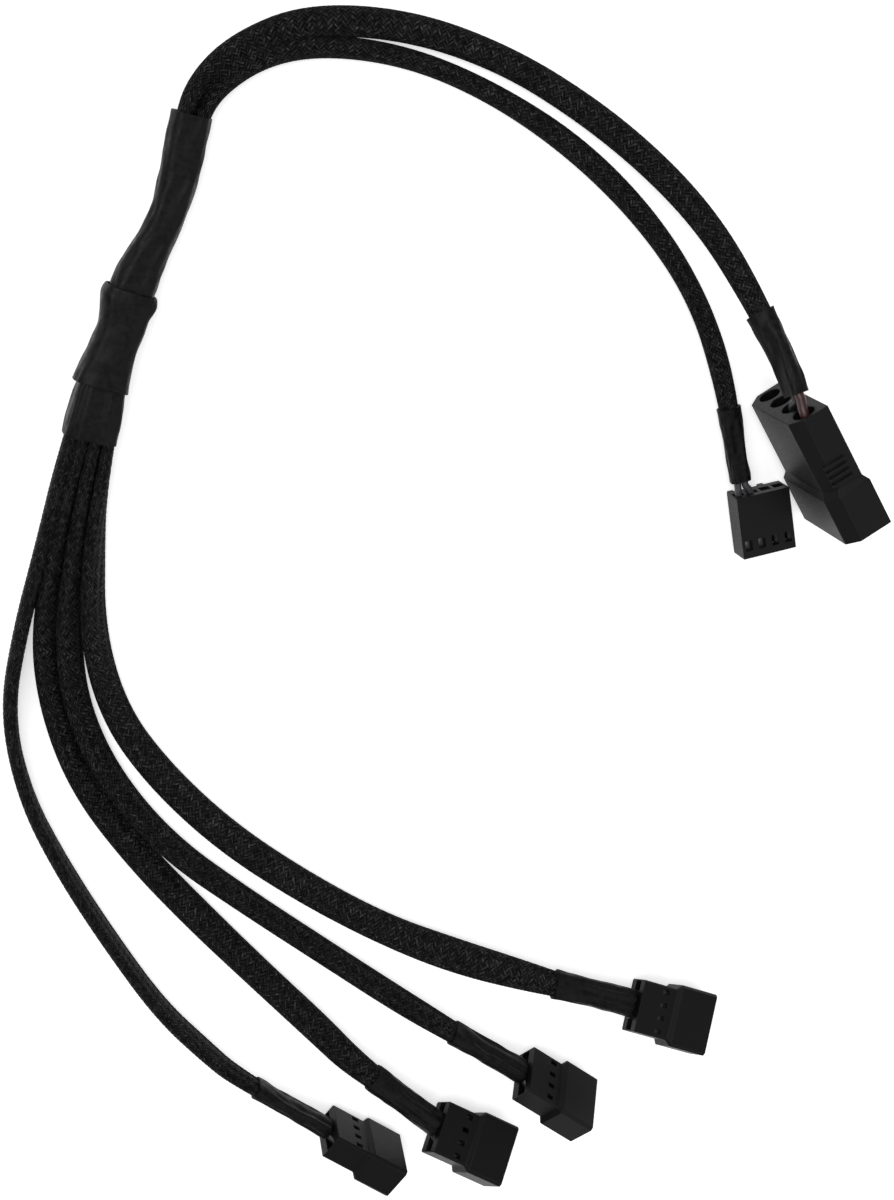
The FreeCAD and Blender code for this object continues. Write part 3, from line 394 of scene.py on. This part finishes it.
def shrink_material(name, colours):
    material, tree, shader = blank(name, colours.shrink, roughness=0.5, specular=0.12)
    pattern = grain(tree, shader, scale=1100.0, strength=0.6, distance=0.00012)
    rough = spread(tree, pattern, (0.3, 0.7), (0.36, 0.6))
    tree.links.new(rough, shader.inputs["Roughness"])
    mottle(tree, shader, colours.shrink, spread(tree, pattern, (0.35, 0.65), (0.55, 1.6)))
    return material


def nylon_material(colours):
    material, tree, shader = blank("Nylon", colours.nylon, roughness=0.45, specular=0.14)
    pattern = grain(tree, shader, scale=2600.0, strength=0.2, distance=0.00005)
    rough = spread(tree, pattern, (0.3, 0.7), (0.4, 0.52))
    tree.links.new(rough, shader.inputs["Roughness"])
    return material


def wire_material(name, shade):
    material, tree, shader = blank(name, shade, roughness=0.4)
    grain(tree, shader, scale=1500.0, strength=0.1, distance=0.00005)
    return material


def tin_material(colours):
    material, tree, shader = blank("Tin", colours.tin, roughness=0.38)
    shader.inputs["Metallic"].default_value = 1.0
    grain(tree, shader, scale=1800.0, strength=0.1, distance=0.00003)
    return material


def floor_material(colours):
    """White where the camera looks, and shaded by what lies on it."""
    material, tree, shader = blank("Table", colours.floor, roughness=0.9, specular=0.1)
    path = node(tree, "ShaderNodeLightPath")
    seen = maths(tree, "MAXIMUM", path.outputs["Is Camera Ray"], path.outputs["Is Glossy Ray"])
    seen = maths(tree, "MAXIMUM", seen, path.outputs["Is Transmission Ray"])
    glow = maths(tree, "MULTIPLY", seen, TABLE_GLOW)
    shader.inputs["Emission Color"].default_value = (1.0, 1.0, 1.0, 1.0)
    tree.links.new(glow, shader.inputs["Emission Strength"])
    return material


# Meshes

def drawn(points, steps):
    """The points of a smooth line whose control points are given."""
    curve = bpy.data.curves.new("Line", "CURVE")
    curve.dimensions = "3D"
    curve.resolution_u = steps
    spline = curve.splines.new("NURBS")
    spline.points.add(len(points) - 1)
    for knot, point in zip(spline.points, points):
        knot.co = (*point, 1.0)
    spline.order_u = 3
    spline.use_endpoint_u = True
    holder = bpy.data.objects.new("Line", curve)
    mesh = bpy.data.meshes.new_from_object(holder)
    line = [vertex.co.copy() for vertex in mesh.vertices]
    bpy.data.objects.remove(holder)
    bpy.data.curves.remove(curve)
    bpy.data.meshes.remove(mesh)
    return line


def placed(row):
    """A place below as a point of the frame, in metres."""
    return (Vector(row[:3]) + DATUM) * MM


def ring_axes(line):
    """Level side and raised side at every point of a line."""
    frames = []
    last = len(line) - 1
    for number in range(len(line)):
        along = (line[min(number + 1, last)] - line[max(number - 1, 0)]).normalized()
        left = UP.cross(along).normalized()
        frames.append((left, along.cross(left)))
    return frames


def wrap(name, line, shapes, around, roundness, relief, closed, uv=(1.0, 1.0)):
    """A sleeve round a line.

    shapes holds the roll, half width and half height at each of the line's points.
    """
    count = len(line) - 1
    run = [0.0]
    for before, after in zip(line, line[1:]):
        run.append(run[-1] + (after - before).length)
    frames = ring_axes(line)

    # A grid that runs from -0.5 to 0.5 both ways, rolled up
    bm = bmesh.new()
    bm.loops.layers.uv.new("Braid")
    bmesh.ops.create_grid(bm, x_segments=count, y_segments=around, size=0.5, calc_uvs=True)
    layer = bm.loops.layers.uv.active
    for face in bm.faces:
        face.smooth = True
        for loop in face.loops:
            spot = loop.vert.co
            ring = round((spot.x + 0.5) * count)
            loop[layer].uv = (run[ring] * uv[0], (spot.y + 0.5) * uv[1])
    for vertex in bm.verts:
        ring, turn = round((vertex.co.x + 0.5) * count), vertex.co.y + 0.5
        roll, half_width, half_height = shapes[ring]
        left, raised = frames[ring]
        wide = left * math.cos(roll) + raised * math.sin(roll)
        thick = raised * math.cos(roll) - left * math.sin(roll)
        level, lift = math.cos(math.tau * turn), math.sin(math.tau * turn)
        x = half_width * math.copysign(abs(level) ** roundness, level)
        y = half_height * math.copysign(abs(lift) ** roundness, lift)
        outward = (wide * (level / half_width) + thick * (lift / half_height)).normalized()
        vertex.co = line[ring] + wide * x + thick * y + outward * relief(run[ring], turn)
    bmesh.ops.remove_doubles(bm, verts=bm.verts, dist=WELD)
    if closed:
        ends = [edge for edge in bm.edges if edge.is_boundary]
        bmesh.ops.holes_fill(bm, edges=ends, sides=0)
    bmesh.ops.recalc_face_normals(bm, faces=bm.faces)
    return finish_piece(name, bm), run[-1]


def finish_piece(name, bm):
    mesh = bpy.data.meshes.new(name)
    bm.to_mesh(mesh)
    bm.free()
    piece = bpy.data.objects.new(name, mesh)
    bpy.context.scene.collection.objects.link(piece)
    return piece


def cad_copy(source):
    """A CAD node's mesh with its corners joined."""
    bm = bmesh.new()
    bm.from_mesh(source.data)
    bm.transform(source.matrix_world)
    bmesh.ops.remove_doubles(bm, verts=bm.verts, dist=WELD)
    return bm


def rounded_copy(name, source, radius):
    """A copy of a CAD node with its flat faces joined and its edges rounded."""
    bm = cad_copy(source)
    bmesh.ops.dissolve_limit(bm, angle_limit=FLAT, verts=bm.verts, edges=bm.edges)
    for face in bm.faces:
        face.smooth = False
    corners = [
        edge for edge in bm.edges
        if len(edge.link_faces) == 2 and edge.calc_face_angle() > EDGE]
    made = bmesh.ops.bevel(
        bm, geom=corners, offset=radius, offset_type="OFFSET", segments=2, profile=0.5,
        affect="EDGES", clamp_overlap=True, material=-1)
    for face in made["faces"]:
        face.smooth = True
    return finish_piece(name, bm)


def smooth_copy(name, source):
    """A copy of a CAD node with its round faces smooth."""
    bm = cad_copy(source)
    for face in bm.faces:
        face.smooth = True
    for edge in bm.edges:
        edge.smooth = len(edge.link_faces) == 2 and edge.calc_face_angle() < CREASE
    return finish_piece(name, bm)


def settle(piece, material, slot, *nodes):
    """Gives a piece its material and its body, and hides the CAD nodes it stands for; slot is not
    used.
    """
    piece.data.materials.append(material)
    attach(piece, "root")
    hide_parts(*nodes)


# Pieces

def weave(sizes, wires):
    """Height of the braid and of the wires inside it over a lead's plain surface."""
    def relief(run, turn):
        along, around = run / sizes.strand_pitch, turn * sizes.strands
        first, second = along + around, along - around
        over = math.floor((math.floor(first) + math.floor(second)) / 2) % 2
        across = (second if over else first) % 1.0
        strand = math.sin(math.pi * across) - STRAND_SINK
        ridge = 0.5 - 0.5 * math.cos(math.pi * wires * (math.cos(math.tau * turn) + 1.0))
        return sizes.strand_relief * strand + sizes.lead_ridge * ridge
    return relief


def lead(name, sizes, material):
    """A flat braided lead; returns its piece, line, length and width."""
    kind = name.split("_")[0]
    width, thickness = getattr(sizes, f"{kind}_width"), getattr(sizes, f"{kind}_thickness")
    rows = ROUTES[name]
    line = drawn([placed(row) for row in rows], LEAD_STEPS)
    shapes = drawn([(math.radians(row[3]), row[4], row[5]) for row in rows], LEAD_STEPS)
    shapes = [(shape.x, width / 2 * shape.y, thickness / 2 * shape.z) for shape in shapes]
    relief = weave(sizes, RIDGES[f"{name}_collar"])
    uv = (1.0 / sizes.strand_pitch, sizes.strands)
    piece, run = wrap(
        f"{name}_braid", line, shapes, LEAD_SIDES, LEAD_ROUNDNESS, relief, True, uv)
    settle(piece, material, "braid", name)
    return piece, line, run, width


def sleeve(name, sizes, material):
    """A heat-shrunk wall, open at both ends."""
    rows = SLEEVES[name]
    line = drawn([placed(row) for row in rows], SLEEVE_STEPS)
    shapes = drawn(
        [(math.radians(row[3]), row[4] * MM, row[5] * MM) for row in rows], SLEEVE_STEPS)
    full = sum((after - before).length for before, after in zip(line, line[1:]))
    ridges = RIDGES.get(name, 0)
    seed = rows[0][0]

    def relief(run, turn):
        level, lift = math.cos(math.tau * turn), math.sin(math.tau * turn)
        spot = Vector((
            run * WRINKLES_ALONG + level * WRINKLES_ASLANT, level * WRINKLES_ROUND,
            lift * WRINKLES_ROUND + seed))
        height = sizes.shrink_wrinkle * noise.noise(spot)
        if not ridges:
            return height
        shown = 1.0
        if name in COLLARS:
            shown = min(1.0, max(0.0, (run / full - RIDGE_FULL) * RIDGE_RISE + 1.0))
        return height - shown * sizes.shrink_ridge * math.cos(math.pi * ridges * (level + 1.0))

    roundness = ROUNDNESS.get(name, PLAIN_ROUNDNESS)
    piece, _ = wrap(f"{name}_shrink", line, shapes, SLEEVE_SIDES, roundness, relief, False)
    wall = piece.modifiers.new("Wall", "SOLIDIFY")
    wall.thickness = sizes.shrink_wall
    wall.offset = -1.0
    edge = piece.modifiers.new("Rim", "BEVEL")
    edge.width = sizes.shrink_wall * RIM_PART
    edge.segments = 2
    edge.limit_method = "ANGLE"
    edge.angle_limit = RIM
    settle(piece, material, "shrink", name)


class CABLE_OT_trunk(bpy.types.Operator):
    """The three heat-shrunk sleeves of the trunk"""

    bl_idname = "cable.trunk"
    bl_label = "Trunk"

    def execute(self, context):
        material = shrink_material("Trunk shrink", context.scene.cable_colours)
        for name in TRUNK:
            sleeve(name, context.scene.cable_sizes, material)
        return {"FINISHED"}


class CABLE_OT_collars(bpy.types.Operator):
    """The heat-shrunk collars where the leads end at their connectors"""

    bl_idname = "cable.collars"
    bl_label = "Collars"

    def execute(self, context):
        material = shrink_material("Collar shrink", context.scene.cable_colours)
        for name in COLLARS:
            sleeve(name, context.scene.cable_sizes, material)
        return {"FINISHED"}


class CABLE_OT_housings(bpy.types.Operator):
    """The moulded housings of the two plugs and the four sockets"""

    bl_idname = "cable.housings"
    bl_label = "Housings"

    def execute(self, context):
        material = nylon_material(context.scene.cable_colours)
        radius = context.scene.cable_sizes.edge_radius
        for name in HOUSINGS:
            piece = rounded_copy(f"{name}_moulding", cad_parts[name], radius)
            settle(piece, material, "nylon", name)
        return {"FINISHED"}


class CABLE_OT_contacts(bpy.types.Operator):
    """The tinned pins and terminals, and the splices inside the trunk"""

    bl_idname = "cable.contacts"
    bl_label = "Contacts"

    def execute(self, context):
        material = tin_material(context.scene.cable_colours)
        radius = context.scene.cable_sizes.contact_edge
        for name in CONTACTS:
            piece = rounded_copy(f"{name}_metal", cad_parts[name], radius)
            settle(piece, material, "tinned", name)
        for name in SPLICES:
            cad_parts[name].material_slots[0].material = material
        return {"FINISHED"}


class CABLE_OT_wires(bpy.types.Operator):
    """The bare wires at the connectors and the signal wire in the trunk"""

    bl_idname = "cable.wires"
    bl_label = "Bare wires"

    def execute(self, context):
        colours = context.scene.cable_colours
        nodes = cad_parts
        black = wire_material("Black wire", colours.wire)
        for name in BLACK_WIRES:
            settle(smooth_copy(f"{name}_insulation", nodes[name]), black, "insulation", name)
        grey = wire_material("Grey wire", colours.header_wire)
        header = smooth_copy("header_plug_wires_insulation", nodes["header_plug_wires"])
        settle(header, grey, "insulation", "header_plug_wires")
        # The power plug's upper wire is the supply
        power = smooth_copy("power_plug_wires_insulation", nodes["power_plug_wires"])
        settle(power, black, "insulation", "power_plug_wires")
        power.data.materials.append(wire_material("Supply wire", colours.supply_wire))
        middle = sum(corner[2] for corner in power.bound_box) / len(power.bound_box)
        for face in power.data.polygons:
            face.material_index = 1 if face.center.z > middle else 0
        return {"FINISHED"}


class CABLE_OT_leads(bpy.types.Operator):
    """The six flat braided leads"""

    bl_idname = "cable.leads"
    bl_label = "Braided leads"

    def execute(self, context):
        sizes = context.scene.cable_sizes
        material = braid_material(context.scene.cable_colours)
        for name in ROUTES:
            piece, line, run, width = lead(name, sizes, material)
        return {"FINISHED"}


class CABLE_OT_stage(bpy.types.Operator):
    """The white table, the soft light and the camera"""

    bl_idname = "cable.stage"
    bl_label = "Stage"

    def execute(self, context):
        scene = context.scene
        bm = bmesh.new()
        bmesh.ops.create_grid(bm, x_segments=1, y_segments=1, size=TABLE_HALF)
        bmesh.ops.translate(bm, verts=bm.verts, vec=(0.0, 0.0, -TABLE_DEPTH))
        floor = finish_piece("Table", bm)
        floor.data.materials.append(floor_material(scene.cable_colours))

        for name, place, size, power in LAMPS:
            light = bpy.data.lights.new(name, "AREA")
            light.size = size
            light.energy = power
            lamp = bpy.data.objects.new(name, light)
            lamp.location = place
            lamp.rotation_euler = (-Vector(place)).to_track_quat("-Z", "Y").to_euler()
            scene.collection.objects.link(lamp)

        scene.world = scene.world or bpy.data.worlds.new("World")
        scene.world.use_nodes = True
        sky = scene.world.node_tree.nodes["Background"]
        sky.inputs["Color"].default_value = (1.0, 1.0, 1.0, 1.0)
        sky.inputs["Strength"].default_value = SKY_STRENGTH

        camera = bpy.data.cameras.new("Camera")
        camera.lens = LENS_MM
        camera.sensor_width = SENSOR_MM
        camera.clip_start = CLIP_NEAR
        camera.clip_end = CLIP_FAR
        eye = bpy.data.objects.new("Camera", camera)
        turn = Matrix(CAMERA_AXES).transposed().to_4x4()
        eye.matrix_world = Matrix.Translation(placed(CAMERA_PLACE)) @ turn
        scene.collection.objects.link(eye)
        scene.camera = eye
        scene.view_settings.view_transform = "Standard"
        return {"FINISHED"}


class CABLE_PT_panel(bpy.types.Panel):
    """The cable's pieces, sizes and colours"""

    bl_idname = "CABLE_PT_panel"
    bl_label = "Fan splitter cable"
    bl_space_type = "VIEW_3D"
    bl_region_type = "UI"
    bl_category = "Cable"

    def draw(self, context):
        for operator in OPERATORS:
            self.layout.operator(operator.bl_idname)
        for group in (context.scene.cable_sizes, context.scene.cable_colours):
            box = self.layout.box()
            for key in group.__annotations__:
                box.prop(group, key)


OPERATORS = (
    CABLE_OT_trunk, CABLE_OT_collars, CABLE_OT_housings, CABLE_OT_contacts, CABLE_OT_wires,
    CABLE_OT_leads, CABLE_OT_stage)
CLASSES = (CableSizes, CableColours) + OPERATORS + (CABLE_PT_panel,)


def register():
    for item in CLASSES:
        bpy.utils.register_class(item)
    bpy.types.Scene.cable_sizes = PointerProperty(type=CableSizes)
    bpy.types.Scene.cable_colours = PointerProperty(type=CableColours)


def unregister():
    del bpy.types.Scene.cable_colours
    del bpy.types.Scene.cable_sizes
    for item in reversed(CLASSES):
        bpy.utils.unregister_class(item)


def main():
    register()
    bpy.ops.cable.trunk()
    bpy.ops.cable.collars()
    bpy.ops.cable.housings()
    bpy.ops.cable.contacts()
    bpy.ops.cable.wires()
    bpy.ops.cable.leads()
    bpy.ops.cable.stage()


if __name__ == "__main__":
    main()
